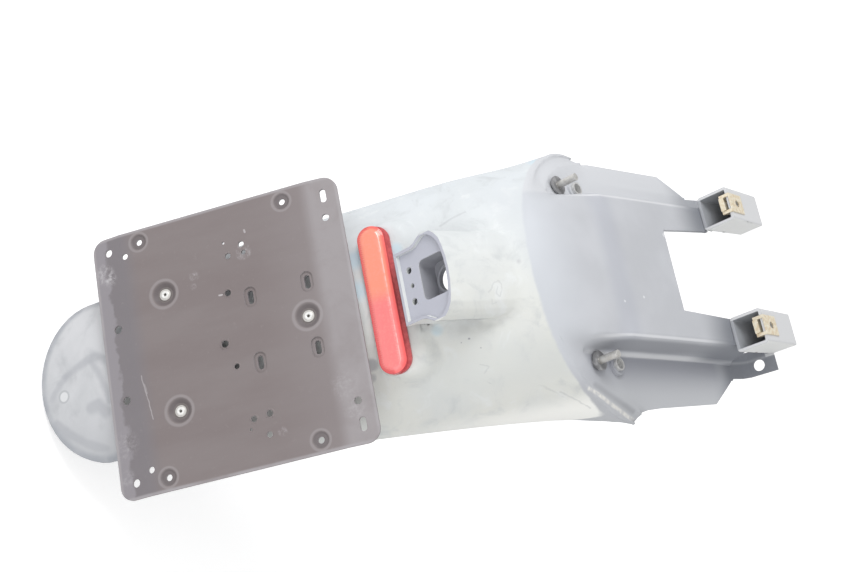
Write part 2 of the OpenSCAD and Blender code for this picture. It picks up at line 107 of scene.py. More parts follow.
class Mat:
    """A principled material and short ways to add nodes to it. Places are in millimetres."""

    def __init__(self, name, rough=0.5, metal=0.0, color=(0.5, 0.5, 0.5, 1.0)):
        self.m = bpy.data.materials.new(name)
        self.m.use_nodes = True
        self.nt = self.m.node_tree
        self.bsdf = self.nt.nodes["Principled BSDF"]
        self.preset("Roughness", rough)
        self.preset("Metallic", metal)
        self.preset("Base Color", color)
        coords = self.node("ShaderNodeTexCoord").outputs["Object"]
        self.pos = self.scaled(coords, 1 / MM)
        split = self.node("ShaderNodeSeparateXYZ")
        self.put(split.inputs[0], self.pos)
        self.x, self.y, self.z = split.outputs
        away = self.vec("SUBTRACT", self.pos, PLATE_AT / MM)
        self.plate_y = self.vec("DOT_PRODUCT", away, PLATE_UP, out="Value")
        self.plate_z = self.vec("DOT_PRODUCT", away, PLATE_OUT, out="Value")
        self.normal = self.node("ShaderNodeNewGeometry").outputs["Normal"]

    def preset(self, socket, value):
        """Sets a constant on the shader's own socket."""
        self.bsdf.inputs[socket].default_value = value

    def node(self, kind, **props):
        n = self.nt.nodes.new(kind)
        for k, v in props.items():
            setattr(n, k, v)
        return n

    def put(self, socket, value):
        if isinstance(value, bpy.types.NodeSocket):
            self.nt.links.new(value, socket)
        else:
            socket.default_value = value

    def math(self, op, a, b=0.0, clamp=False):
        n = self.node("ShaderNodeMath", operation=op, use_clamp=clamp)
        self.put(n.inputs[0], a)
        self.put(n.inputs[1], b)
        return n.outputs[0]

    def vec(self, op, a, b=(0, 0, 0), out=0):
        n = self.node("ShaderNodeVectorMath", operation=op)
        self.put(n.inputs[0], a)
        self.put(n.inputs[1], b)
        return n.outputs[out]

    def scaled(self, vector, factor):
        n = self.node("ShaderNodeVectorMath", operation="SCALE")
        self.put(n.inputs[0], vector)
        self.put(n.inputs["Scale"], factor)
        return n.outputs[0]

    def plus(self, a, b):
        return self.math("ADD", a, b)

    def minus(self, a, b):
        return self.math("SUBTRACT", a, b)

    def times(self, *values):
        out = values[0]
        for v in values[1:]:
            out = self.math("MULTIPLY", out, v)
        return out

    def absolute(self, v):
        """The value without its sign."""
        return self.math("ABSOLUTE", v)

    def inverse(self, mask):
        return self.minus(1.0, mask)

    def ramp(self, v, lo, hi, a=0.0, b=1.0):
        """A smooth change from a to b as v goes from lo to hi."""
        if lo > hi:
            lo, hi, a, b = hi, lo, b, a
        n = self.node("ShaderNodeMapRange", interpolation_type="SMOOTHSTEP")
        for i, x in enumerate((v, lo, hi, a, b)):
            self.put(n.inputs[i], x)
        return n.outputs[0]

    def band(self, v, lo, hi, soft):
        """1 between lo and hi, fading over soft on both sides."""
        rise = self.ramp(v, lo - soft, lo + soft)
        return self.times(rise, self.ramp(v, hi - soft, hi + soft, 1.0, 0.0))

    def mix(self, f, a, b):
        n = self.node("ShaderNodeMix", data_type="RGBA")
        self.put(n.inputs[0], f)
        self.put(n.inputs[6], a)
        self.put(n.inputs[7], b)
        return n.outputs[2]

    def between(self, f, first, second):
        """A mix of two display colours."""
        return self.mix(f, srgb(*first), srgb(*second))

    def over(self, color, mask, display):
        """The colour, with a display colour laid over it where the mask is 1."""
        return self.mix(mask, color, srgb(*display))

    def noise(self, size, detail=3.0, rough=0.5, distort=0.0, stretch=None):
        """Noise with features of about the given size."""
        n = self.node("ShaderNodeTexNoise")
        src = self.pos
        if stretch:
            mp = self.node("ShaderNodeMapping")
            self.put(mp.inputs["Vector"], src)
            mp.inputs["Scale"].default_value = stretch
            src = mp.outputs[0]
        self.put(n.inputs["Vector"], src)
        n.inputs["Scale"].default_value = 1.0 / size
        n.inputs["Detail"].default_value = detail
        n.inputs["Roughness"].default_value = rough
        n.inputs["Distortion"].default_value = distort
        return n.outputs["Fac"]

    def patchy(self, size, detail, lo, hi, least, most):
        """A strength that changes in patches between least and most."""
        return self.ramp(self.noise(size, detail), lo, hi, least, most)

    def wobbled(self, size, amount):
        """The position, pushed about by noise."""
        n = self.node("ShaderNodeTexNoise")
        self.put(n.inputs["Vector"], self.pos)
        n.inputs["Scale"].default_value = 1.0 / size
        centred = self.vec("SUBTRACT", n.outputs["Color"], (0.5, 0.5, 0.5))
        return self.vec("ADD", self.pos, self.scaled(centred, 2 * amount))

    def facing(self, direction, lo, hi):
        """0 to 1 as the surface turns to face a direction."""
        return self.ramp(self.vec("DOT_PRODUCT", self.normal, direction, out="Value"), lo, hi)

    def near(self, p, r, soft, src=None):
        """1 within r of a point, 0 beyond r + soft."""
        d = self.vec("DISTANCE", src or self.pos, p, out="Value")
        return self.ramp(d, r, r + soft, 1.0, 0.0)

    def ring(self, p, r, width, soft):
        """1 on a ring of radius r round a point."""
        d = self.vec("DISTANCE", self.pos, p, out="Value")
        return self.ramp(self.absolute(self.minus(d, r)), width, width + soft, 1.0, 0.0)

    def stroke(self, pts, width, soft, src=None):
        """1 along a line through points, 0 away from it."""
        best = None
        for a, b in zip(pts, pts[1:]):
            a, b = Vector(a), Vector(b)
            ba = b - a
            pa = self.vec("SUBTRACT", src or self.pos, a)
            reach = self.vec("DOT_PRODUCT", pa, ba, out="Value")
            along = self.math("MULTIPLY", reach, 1.0 / max(ba.length_squared, 1e-9), clamp=True)
            d = self.vec("DISTANCE", pa, self.scaled(ba, along), out="Value")
            best = d if best is None else self.math("MINIMUM", best, d)
        return self.ramp(best, width, width + soft, 1.0, 0.0)

    def bump(self, height, dist, strength=1.0, round_edges=0.0):
        """Fine relief of dist metres, with edges rounded in the shading by round_edges millimetres."""
        n = self.node("ShaderNodeBump")
        n.inputs["Strength"].default_value = strength
        n.inputs["Distance"].default_value = dist
        self.put(n.inputs["Height"], height)
        if round_edges:
            bevel = self.node("ShaderNodeBevel", samples=4)
            bevel.inputs["Radius"].default_value = round_edges * MM
            self.put(n.inputs["Normal"], bevel.outputs[0])
        self.put(self.bsdf.inputs["Normal"], n.outputs[0])

    def base(self, socket):
        self.put(self.bsdf.inputs["Base Color"], socket)


def set_mat(obj, mat):
    obj.data.materials.clear()
    obj.data.materials.append(mat.m)
    for p in obj.data.polygons:
        p.material_index = 0


def add_piece(name, bm, angle=30, replaces=None):
    """Makes a piece of a mesh, with edges sharper than the angle kept sharp."""
    limit = math.radians(angle)
    for f in bm.faces:
        f.smooth = True
    for e in bm.edges:
        e.smooth = not (len(e.link_faces) == 2 and e.calc_face_angle(0) > limit)
    mesh = bpy.data.meshes.new(name)
    bm.to_mesh(mesh)
    bm.free()
    ob = bpy.data.objects.new(name, mesh)
    scene.collection.objects.link(ob)
    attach(ob, "root")
    if replaces:
        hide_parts(replaces)
        replaced.add(replaces)
    return ob


# Points of the CAD mesh closer than this, in metres, are one point
WELD = 2e-6


def welded(node):
    """A bmesh of a CAD node with its doubled points joined."""
    bm = bmesh.new()
    bm.from_mesh(nodes[node].data)
    bmesh.ops.remove_doubles(bm, verts=bm.verts, dist=WELD)
    bmesh.ops.dissolve_degenerate(bm, edges=bm.edges, dist=WELD)
    return bm


# Softening of the moulding: longest edges, rounds of smoothing and the angle of a crisp edge
HOOD_SPAN = 2.3
SHELL_SPAN = 5.0
SPLIT_ROUNDS = 6
HOOD_ROUNDS = 28
RIDGE_ROUNDS = 2
SHELL_ROUNDS = 8
CRISP_ANGLE = math.radians(33)

# Smoothing starts and is full at these distances from a crisp edge, found in steps along the mesh
CLEAR_FROM = 0.5
CLEAR_FULL = 6.0
CLEAR_STEPS = 14
CLEAR_MOST = 99.0

# Hood and plinth: range up the carrier, least height out of it, half width, front end and depth of the lip
HOOD_UP = (100, 246)
HOOD_OUT = -34
HOOD_HALF = 78
HOOD_FRONT_Y = -176
LIP_DEPTH = 2.6

# The plateau's side edge and the foot of its wall: range across and along
RIDGE_X = (55, 71)
RIDGE_Y = (-172, -12)

# The rim between the arc and the side pockets: least x, range along, top, and tilt that is no border
RIM_X = 60
RIM_Y = (-200, -84)
RIM_Z = -64
RIM_TILT = 0.15

# Inside of the hood: half width low and its gain higher up, where it widens, margin, bottom and front
INSIDE_HALF = 26.2
INSIDE_GAIN = 6.4
INSIDE_WIDENS = (-134, 14)
INSIDE_MARGIN = 1.2
INSIDE_Z = -150
INSIDE_Y = -236

# The reflector's seat: margin round the lens and range out of the carrier
SEAT_MARGIN = 0.8
SEAT_OUT = (-13.5, -12.5)


def up_and_out(p):
    """Place of a point, in millimetres, up along the carrier and out of it."""
    away = p - PLATE_AT / MM
    return away.dot(PLATE_UP), away.dot(PLATE_OUT)


def middle_of(e):
    """Middle of an edge in millimetres."""
    return (e.verts[0].co + e.verts[1].co) * (0.5 / MM)


def hood_zone(p):
    """Whether a point lies where hood and plinth run softly into the rear."""
    up, out = up_and_out(p)
    return HOOD_UP[0] < up < HOOD_UP[1] and out > HOOD_OUT and abs(p.x) < HOOD_HALF and p.y < HOOD_FRONT_Y


def ridge_zone(p):
    """Whether a point lies at the plateau's rounded side edge or at the foot of its wall."""
    return RIDGE_X[0] < abs(p.x) < RIDGE_X[1] and RIDGE_Y[0] < p.y < RIDGE_Y[1]


def rim_edge(e):
    """Whether an edge lies inside the rim between the arc and the side pockets, off its free border."""
    p = middle_of(e)
    if not (abs(p.x) > RIM_X and RIM_Y[0] < p.y < RIM_Y[1] and p.z < RIM_Z):
        return False
    tilt = [f.normal.z for f in e.link_faces]
    return min(tilt) > RIM_TILT or max(tilt) < -RIM_TILT


def inside_hood(p):
    """Whether a point lies on the lamp panel, in its pocket or on the hood's inner walls."""
    start, rise = INSIDE_WIDENS
    half = INSIDE_HALF + INSIDE_GAIN * min(max((p.z - start) / rise, 0), 1)
    return abs(p.x) < half + INSIDE_MARGIN and p.z > INSIDE_Z and p.y < INSIDE_Y


def under_reflector(p):
    """Whether a point lies on the seat of the reflector, which stays flat."""
    up, out = up_and_out(p)
    end = max(abs(p.x) - (REFL_LEN - REFL_W) / 2, 0)
    return math.hypot(end, up - REFL_AT[0]) < REFL_W / 2 + SEAT_MARGIN and SEAT_OUT[0] < out < SEAT_OUT[1]


def refine(bm):
    """Splits long edges until the mesh is fine enough to be softened."""
    for _ in range(SPLIT_ROUNDS):
        long = []
        for e in bm.edges:
            middle = middle_of(e)
            fine = hood_zone(middle) or ridge_zone(middle)
            if e.calc_length() > (HOOD_SPAN if fine else SHELL_SPAN) * MM:
                long.append(e)
        if not long:
            return
        bmesh.ops.subdivide_edges(bm, edges=long, cuts=1)
        bmesh.ops.triangulate(bm, faces=[f for f in bm.faces if len(f.verts) > 3])


def smoothstep(v, lo, hi):
    t = np.clip((v - lo) / (hi - lo), 0, 1)
    return t * t * (3 - 2 * t)


def along_surface(points, a, b, starts):
    """Distance of the points near the start points from them, along the mesh's edges."""
    length = np.linalg.norm(points[a] - points[b], axis=1)
    clear = np.full(len(points), CLEAR_MOST)
    clear[starts] = 0
    for _ in range(CLEAR_STEPS):
        np.minimum.at(clear, a, clear[b] + length)
        np.minimum.at(clear, b, clear[a] + length)
    return clear


def crisp_points(bm):
    """Points on the edges that stay as sharp as they are moulded."""
    crisp = []
    for e in bm.edges:
        angle = e.calc_face_angle(0) if len(e.link_faces) == 2 else math.pi
        middle = middle_of(e)
        hood = hood_zone(middle) and middle.y > LIP_Y + LIP_DEPTH and not inside_hood(middle)
        if angle > CRISP_ANGLE and not (hood or ridge_zone(middle) or rim_edge(e)):
            crisp += [e.verts[0].index, e.verts[1].index]
    return crisp


def rounds_at(p):
    """Rounds of smoothing that a point gets away from crisp edges."""
    if under_reflector(p):
        return 0
    return HOOD_ROUNDS if hood_zone(p) else RIDGE_ROUNDS if ridge_zone(p) else SHELL_ROUNDS


def soften(bm):
    """Rounds the soft blends of the moulding and leaves its crisp edges where they are."""
    bm.verts.index_update()
    bm.normal_update()
    points = np.array([v.co for v in bm.verts]) / MM
    a, b = np.array([(e.verts[0].index, e.verts[1].index) for e in bm.edges]).T
    clear = along_surface(points, a, b, crisp_points(bm))
    rounds = np.array([float(rounds_at(Vector(p))) for p in points])
    rounds *= smoothstep(clear, CLEAR_FROM, CLEAR_FULL)
    count = np.bincount(a, minlength=len(points)) + np.bincount(b, minlength=len(points))
    for step in range(HOOD_ROUNDS):
        share = 0.5 * np.clip(rounds - step, 0, 1)
        if not share.any():
            break
        for axis in range(3):
            p = points[:, axis]
            mean = (np.bincount(a, p[b], len(p)) + np.bincount(b, p[a], len(p))) / count
            points[:, axis] = p + share * (mean - p)
    for v, p in zip(bm.verts, points):
        v.co = Vector(p) * MM


def fender_shell():
    bm = welded("fender_body")
    refine(bm)
    soften(bm)
    return add_piece("fender_shell", bm, 32, "fender_body")


def carrier_plate():
    """The carrier's sheet, with its two shallow folds kept as clear creases."""
    return add_piece("carrier_plate", welded("plate_carrier"), 5, "plate_carrier")


def turn_steps(count):
    """Angles of equal steps round a full turn."""
    return [2 * math.pi * k / count for k in range(count)]


def lathe(profile, at, axis, steps=48):
    """A turned form from points of radius and height; the profile is closed."""
    bm = bmesh.new()
    axis = Vector(axis).normalized()
    side = axis.orthogonal().normalized()
    other = axis.cross(side)
    rings = []
    for r, h in profile:
        ring = [axis * h + side * (r * math.cos(t)) + other * (r * math.sin(t)) for t in turn_steps(steps)]
        rings.append([bm.verts.new(at + point * MM) for point in ring])
    for one, two in zip(rings, rings[1:] + rings[:1]):
        for k in range(steps):
            bm.faces.new((one[k], one[(k + 1) % steps], two[(k + 1) % steps], two[k]))
    bmesh.ops.recalc_face_normals(bm, faces=bm.faces)
    return bm


# Turned profiles as radius and height: rivet shell, its broken pin and the ring round the lamp hole
RIVET_PROFILE = [(1.15, -15), (2.4, -15), (2.4, 0), (4.55, 0), (4.75, 0.3), (4.6, 0.62), (4.0, 0.78),
                 (3.5, 0.86), (3.2, 1.12), (2.6, 1.28), (2.0, 1.3), (1.5, 1.16), (1.2, 0.8), (1.15, 0.2)]
PIN_PROFILE = [(0.01, -14), (1.15, -14), (1.15, -0.9), (0.9, -0.5), (0.01, -0.4)]
BOSS_PROFILE = [(9.7, -0.5), (9.7, 1.8), (10.1, 2.1), (11.6, 2.1), (12.0, 1.8), (12.1, 0.9), (13.0, 0.8),
                (13.3, 0.5), (13.3, -0.5)]


def rivet(name, x, y):
    """A set rivet with the end of its pin inside."""
    seat = on_plate(x, y, -DIMPLE_DEPTH)
    bm = lathe(RIVET_PROFILE, seat, PLATE_OUT)
    pin = lathe(PIN_PROFILE, seat, PLATE_OUT, 24)
    extra = bpy.data.meshes.new("pin")
    pin.to_mesh(extra)
    pin.free()
    bm.from_mesh(extra)
    return add_piece(name + "_dome", bm, 40, name)


def lamp_boss():
    """Stepped ring round the lamp hole at the back of the pocket."""
    at = Vector((LAMP_HOLE[0], POCKET_BACK_Y, LAMP_HOLE[1])) * MM
    return add_piece("lamp_boss", lathe(BOSS_PROFILE, at, (0, -1, 0), 72), 40)


# Section of the lens: distance in from its outline and height over its seat
LENS_KEYS = [(0, 3.0), (0.35, 3.45), (3.9, 4.55), (4.5, 4.9), (5.2, 5.0), (12, 5.0)]
LENS_INSETS = [0, 0.35, 0.8, 1.6, 2.4, 3.2, 3.9, 4.2, 4.5, 4.85, 5.2, 5.7, 6.2, 7.2, 8.2, 9.2, 10.0, 10.7]
LENS_WALL = [0.0, 1.5]
LENS_STEPS = 170
LENS_BEND_STEPS = 44

# Ribs on the lower half of the flat top: where the top starts, where the half starts, pitch and depth
TOP_FROM = (5.2, 6.0)
RIBS_FROM = (-6, 4)
RIB_PITCH = 2.0
RIB_DEPTH = 0.14

# Teeth on the lower bevel: where the bevel starts and ends, pitch and depth
BEVEL_FROM = (0.3, 0.8)
BEVEL_TO = (3.2, 3.9)
TOOTH_PITCH = 1.7
TOOTH_DEPTH = 0.3


def wave(x, pitch):
    """0 to 1 and back over each pitch."""
    return 0.5 - 0.5 * math.cos(2 * math.pi * x / pitch)


def lens_height(inset, x, side):
    """Height of the lens over its seat: side wall, bevel, crest and a flat ribbed top."""
    for (d0, h0), (d1, h1) in zip(LENS_KEYS, LENS_KEYS[1:]):
        if inset <= d1:
            h = h0 + (h1 - h0) * (inset - d0) / (d1 - d0)
            break
    h -= RIB_DEPTH * wave(x, RIB_PITCH) * smoothstep(inset, *TOP_FROM) * smoothstep(x, *RIBS_FROM)
    if side < 0:
        on_bevel = smoothstep(inset, *BEVEL_FROM) * (1 - smoothstep(inset, *BEVEL_TO))
        h -= TOOTH_DEPTH * wave(x, TOOTH_PITCH) * on_bevel
    return h


def lens_outline(inset):
    """The lens's round-ended outline, moved in by inset."""
    half = (REFL_LEN - REFL_W) / 2
    r = REFL_W / 2 - inset
    turns = [math.pi * k / LENS_BEND_STEPS for k in range(LENS_BEND_STEPS)]
    way = [2 * half * k / LENS_STEPS for k in range(LENS_STEPS)]
    pts = [(-half + w, r) for w in way]
    pts += [(half + r * math.sin(t), r * math.cos(t)) for t in turns]
    pts += [(half - w, -r) for w in way]
    pts += [(-half - r * math.sin(t), -r * math.cos(t)) for t in turns]
    return pts


def reflector():
    """The lens as rings of its outline, each a little further in."""
    bm = bmesh.new()
    up, out = REFL_AT
    rings = []
    for level in LENS_WALL:
        rings.append([bm.verts.new(on_plate(x, up + y, out + level)) for x, y in lens_outline(0.0)])
    for inset in LENS_INSETS:
        rings.append([bm.verts.new(on_plate(x, up + y, out + lens_height(inset, x, y)))
                      for x, y in lens_outline(inset)])
    count = len(rings[0])
    for one, two in zip(rings, rings[1:]):
        for k in range(count):
            bm.faces.new((one[k], one[(k + 1) % count], two[(k + 1) % count], two[k]))
    bm.faces.new(rings[-1])
    bm.faces.new(rings[0][::-1])
    bmesh.ops.remove_doubles(bm, verts=bm.verts, dist=1e-6)
    bmesh.ops.recalc_face_normals(bm, faces=bm.faces)
    return add_piece("reflector_prisms", bm, 30, "reflector_lens")


# Rough drilled holes of the carrier whose lips are torn: x, y, radius and height of the lip
BURRS = [(-34.3, 3.5, 2.8, 0.9), (5.4, -4.8, 3.1, 1.2), (67.3, 22.3, 2.8, 0.7), (25.1, 2, 2.4, 0.4),
         (-64, 8, 2.6, 0.6), (68.6, 9.3, 2.6, 0.5), (83.1, 19.9, 2.6, 0.35), (-63.6, 21.1, 2.2, 0.5)]
BURR_STEPS = 40


def burr_section(number, t, r, lip):
    """Section of a torn lip at an angle round its hole, as radius and height."""
    ragged = noise.noise(Vector((2.2 * math.cos(t), 2.2 * math.sin(t), 7.3 * number)))
    fine = noise.noise(Vector((6 * math.cos(t), 6 * math.sin(t), 3.1 * number)))
    h = lip * max(0.12, 0.45 + 1.1 * ragged + 0.5 * fine)
    width = 0.5 + 1.2 * max(0, ragged + 0.3)
    inner = r - 0.15 - 0.5 * max(0, fine)
    return [(r + width + 0.5, -0.15), (r + width * 0.6, h * 0.55), (r + 0.15, h), (inner, h * 0.7),
            (inner, -1.2)]


def burrs():
    """Ragged lips that the drill left round the extra holes."""
    bm = bmesh.new()
    for number, (cx, cy, r, lip) in enumerate(BURRS):
        rows = []
        for t in turn_steps(BURR_STEPS):
            rows.append([bm.verts.new(on_plate(cx + q * math.cos(t), cy + q * math.sin(t), z))
                         for q, z in burr_section(number, t, r, lip)])
        for one, two in zip(rows, rows[1:] + rows[:1]):
            for k in range(len(one) - 1):
                bm.faces.new((one[k], two[k], two[k + 1], one[k + 1]))
    bmesh.ops.recalc_face_normals(bm, faces=bm.faces)
    return add_piece("drill_burrs", bm, 60)


# Weathered rear: colours left and right, then patches as noise, start, full, strength and colour
REAR_X = (-100, 70)
REAR_LEFT = (215, 220, 224)
REAR_RIGHT = (221, 222, 217)
REAR_PATCHES = [("big", 0.38, 0.66, 0.6, (207, 211, 213)), ("mid", 0.5, 0.74, 0.5, (188, 192, 194)),
                ("mid", 0.45, 0.3, 0.5, (228, 231, 232)), ("fine", 0.56, 0.8, 0.16, (170, 174, 176))]

# Wider areas of the rear: range and softness across, range along where it comes in, strength and colour
REAR_AREAS = [((52, 84, 10), (-270, -240), 0.6, (206, 209, 207)),
              ((-70, 12, 18), (-222, -206), 0.6, (204, 208, 212))]
# Painted light on the rear's low border, which faces away from the lamps: range across, strength and colour
LOW_BORDER_PAINTED_LIGHT = ((92, 104), 0.9, (250, 250, 246))

# Tail flap: where it starts up the carrier, colours, blotches, painted shade on its right side and along its
# rim, and the oval that its rim follows
TAIL_FROM = (-96, -112)
FLAP_LIGHT = (205, 206, 209)
FLAP_DARK = (190, 192, 195)
FLAP_DIRT = (172, 174, 178)
FLAP_SMEAR = (166, 168, 174)
FLAP_RIGHT_SHADE = ((5, 60), 0.6, (180, 182, 186))
FLAP_MARK = (7.5, -154, -18.5)
FLAP_MARK_LIGHT = (216, 217, 219)
FLAP_OVAL = (67.5, 57.0, 118.0)
FLAP_RIM_SHADE = ((0.88, 0.97), (166, 169, 175))

# Dirty smears of the tail flap: points on the carrier's frame, half width, softness and strength
TAIL_SMEARS = [([(-8, -150, -19), (-14, -135, -17), (-18, -122, -15), (-12, -112, -13)], 1.2, 4.5, 0.55),
               ([(7, -166, -21), (-2, -158, -20), (-8, -150, -19)], 1.0, 4.0, 0.45),
               ([(-14, -124, -15), (2, -116, -14), (22, -112, -13)], 0.8, 4.0, 0.5),
               ([(30, -116, -15), (22, -122, -15), (24, -130, -16)], 2.0, 5.0, 0.6),
               ([(27, -164, -21), (40, -152, -21), (50, -138, -20), (58, -124, -20)], 1.6, 4.0, 0.7)]

# Scraped lip of the right wing, the groove beside it and their colours
SCRAPED_LIP = [(93, -165, -79), (98, -151, -80), (104.1, -135.7, -81.5), (108, -124.1, -83.1),
               (111.6, -111, -85.5), (113.4, -102.5, -87)]
LIP_GROOVE = [(90, -158, -78), (95, -146, -78.5), (100.5, -131, -79.5), (104.5, -119, -80.5),
              (108, -107, -82.5)]
LIP_LIGHT = (232, 230, 225)
GROOVE_DARK = (150, 152, 157)

# Thin scratches and rubbed loops of the rear: points, half width, softness and strength
SCRATCHES = [
    ([(19.4, -245.6, -91.9), (12.8, -241.2, -88.9), (11.4, -237.9, -87.4), (14, -235.6, -86.8),
      (18.2, -235.3, -87.6), (22.5, -236.8, -89.4), (20, -239.5, -90), (15.5, -238.6, -88.2)],
     0.25, 0.6, 0.4),
    ([(24.4, -243.2, -92.4), (28, -242, -94), (27, -239, -92)], 0.2, 0.5, 0.3),
    ([(63.3, -231.4, -124.9), (66, -226, -121), (69.5, -227.1, -124.3), (73, -229, -129),
      (78.1, -221.8, -126)], 0.25, 0.6, 0.45),
    ([(-49.1, -240.2, -128.7), (-53.6, -233.5, -120.8), (-56.4, -226.7, -112.5)], 0.3, 1.2, 0.5),
    ([(91.9, -181.1, -94.7), (98, -168, -91), (104.8, -154.1, -89.6)], 0.3, 0.9, 0.5),
    ([(84, -195, -102), (92, -184, -97), (99, -172, -94)], 0.3, 1.2, 0.4)]
SCRATCH_SHARE = 0.6
SCRATCH_GREY = (168, 171, 174)

# Dark specks and smudges of the rear: place, radius, softness and strength
SMUDGES = [((44.3, -238.9, -123.8), 0.7, 0.6, 0.8), ((45.9, -242.2, -130), 0.4, 0.4, 0.6),
           ((52.6, -233.1, -119.6), 0.4, 0.5, 0.6), ((-3, -219.2, -79.3), 0.3, 3, 0.35),
           ((46.2, -278, -190), 3.0, 3.5, 0.6), ((55.3, -276.8, -193.4), 1.5, 3, 0.5)]
SMUDGE_GREY = (150, 151, 158)

# Faint blue stains: place, radius and softness
BLUE_STAINS = [((-37, -264.3, -157.5), 2.5, 6), ((32.5, -252.7, -141.7), 1.5, 5),
               ((-38.2, -278.5, -187.2), 3, 9), ((-12, -281, -188), 3, 9), ((-99.5, -158.4, -79.3), 4, 10)]
STAIN_BLUE = (190, 222, 238)

# Darker grey in patches where the hood's right wall meets the rear
UNDER_HOOD = [(26.9, -260.6, -150.6), (36.4, -245.3, -130.9), (37.8, -235.2, -114.8),
              (37.6, -226.9, -101.8)]
HOOD_FOOT_GREY = (186, 188, 185)

# Sheltered plastic: two slates, the slope's lighter one and the shaded band across the plateau
SLATE_DARK = (187, 189, 194)
SLATE_LIGHT = (195, 197, 202)
SLOPE = ((-160, -215), 0.75, (203, 207, 213))
PLATEAU_BAND = ((-150, -128, 8), 0.45, (176, 179, 189))

# The plateau's side ridge: distance from the middle at a place along it, spread and range along
RIDGE_AT = 59.2
RIDGE_AT_Y = -138.0
RIDGE_SPREAD = 0.0172
BESIDE_FROM = (-176, -150)
BESIDE_TO = (2, -12)

# Right flange beside the ridge, darker near it as painted shade: where its colour changes outwards, and the
# two colours
FLANGE_OFF = (9, 40)
FLANGE_FROM = (6, 10)
FLANGE_SHADE = (155, 157, 165)
FLANGE_LIGHT = (188, 190, 194)

# Painted shade and highlights along the ridge: shade on the right wall below it, a highlight at the wall's
# foot and one on the ridge's round edge; from and to off it, softness, strength, right side only, and colour
RIDGE_SHADE_AND_HIGHLIGHTS = [(1.8, 5.0, 0.9, 0.8, True, (146, 148, 154)), (6.0, 8.6, 0.9, 0.75, False, (218, 219, 221)),
               (-1.6, 0.4, 0.7, 0.65, False, (222, 223, 226))]

# Left side made lighter as painted light, and painted shade fading darker towards the boxes and ears
LEFT_FLANGE = ((-61, -66), (30, 0), 0.9, (207, 209, 213))
ARM_FADE_Y = (-52, -10)
EAR_FADE_Y = (-14, 12)
ARM_SIDE = 67
EAR_SIDE = 72
BOX_SHADE_ON_ARMS = (138, 141, 148)

# Arm boxes: half widths outside and inside, heights where they start and where their inside starts
BOX_HALF = 15.3
BOX_INSIDE = 12.6
BOX_Z = (-30.5, -29.5)
BOX_Y = (-11.2, -10.6)
BOX_INSIDE_Z = (-3.3, -3.5)
# Box colours: the box's own, its right sides made lighter as painted light, and its inside darker as painted
# shade
BOX_LIGHT = (214, 215, 217)
BOX_RIGHT_PAINTED_LIGHT = (236, 237, 236)
BOX_INSIDE_SHADE = (166, 169, 174)

# Light specks on the sheltered plastic: place and radius
SLATE_SPECKS = [((26.8, -114.8, -42.9), 0.7), ((31.9, -139.7, -45.5), 0.6), ((-30.7, -68.2, -37.6), 1.4)]
SPECK_LIGHT = (226, 227, 230)

# Arc between the bleached rear and the sheltered front: half width, place at the middle and depth
ARC_HALF = 117.4
ARC_Y = -214.6
ARC_DEPTH = 113.6

# Lamp panel and pocket inside the hood, as ranges with their softness
PANEL_X = (-33.6, 33.6, 0.3)
PANEL_Y = (-277.5, -232, 0.5)
PANEL_Z = (-153.5, -152.5)
POCKET_X = (-15.9, 15.9, 0.1)
POCKET_Y = (-272.6, -236, 0.2)
POCKET_Z = (-130.5, -105.3, 0.1)

# Colours of panel, pocket, darker as painted shade, and the moulding's wheel side
PANEL_GREY = (183, 185, 196)
POCKET_SHADE = (165, 166, 173)
WHEEL_SIDE = (122, 125, 130)


def weathered_rear(m):
    """Milky grey, bluish and lighter towards the left, warmer and darker to the right, with painted light on
    the low border.
    """
    noises = {"big": m.noise(70, 4, 0.6), "mid": m.noise(20, 5, 0.62, 0.6), "fine": m.noise(3.2, 4, 0.7)}
    rear = m.between(m.ramp(m.x, *REAR_X), REAR_LEFT, REAR_RIGHT)
    for name, start, full, share, tint in REAR_PATCHES:
        rear = m.over(rear, m.ramp(noises[name], start, full, 0.0, share), tint)
    for across, along, share, tint in REAR_AREAS:
        rear = m.over(rear, m.times(m.band(m.x, *across), m.ramp(m.y, *along), share), tint)
    # Painted light: the low border is made lighter
    across, share, tint = LOW_BORDER_PAINTED_LIGHT
    return m.over(rear, m.times(m.ramp(m.x, *across), share), tint)


def tail_flap(m):
    """Darker than the rear, with brushed dirty patches, a round mark, and painted shade on its right side
    and in patches along its rim.
    """
    flap = m.between(m.ramp(m.noise(60, 6, 0.55, 0.4), 0.4, 0.66), FLAP_LIGHT, FLAP_DARK)
    flap = m.over(flap, m.ramp(m.noise(24, 6, 0.6, 0.3), 0.5, 0.8, 0.0, 0.7), FLAP_DIRT)
    bent = m.wobbled(14, 2.5)
    for line, width, soft, share in TAIL_SMEARS:
        points = [on_plate(*q) / MM for q in line]
        flap = m.over(flap, m.times(m.stroke(points, width, soft, bent), share), FLAP_SMEAR)
    mark = on_plate(*FLAP_MARK) / MM
    flap = m.over(flap, m.times(m.ring(mark, 4.6, 0.5, 0.8), 0.6), FLAP_DIRT)
    flap = m.over(flap, m.near(mark, 3.4, 1.0), FLAP_MARK_LIGHT)
    # Painted shade, darker towards the flap's right side
    across, share, tint = FLAP_RIGHT_SHADE
    flap = m.over(flap, m.ramp(m.x, *across, 0.0, share), tint)
    half, reach, centre = FLAP_OVAL
    wide = m.math("POWER", m.math("DIVIDE", m.x, half), 2.0)
    tall = m.math("POWER", m.math("DIVIDE", m.plus(m.plate_y, centre), reach), 2.0)
    # Painted shade along the flap's rim, in patches
    limits, tint = FLAP_RIM_SHADE
    rim = m.ramp(m.math("SQRT", m.plus(wide, tall)), *limits)
    return m.over(flap, m.times(rim, m.patchy(15, 3, 0.3, 0.6, 0.5, 1.0)), tint)


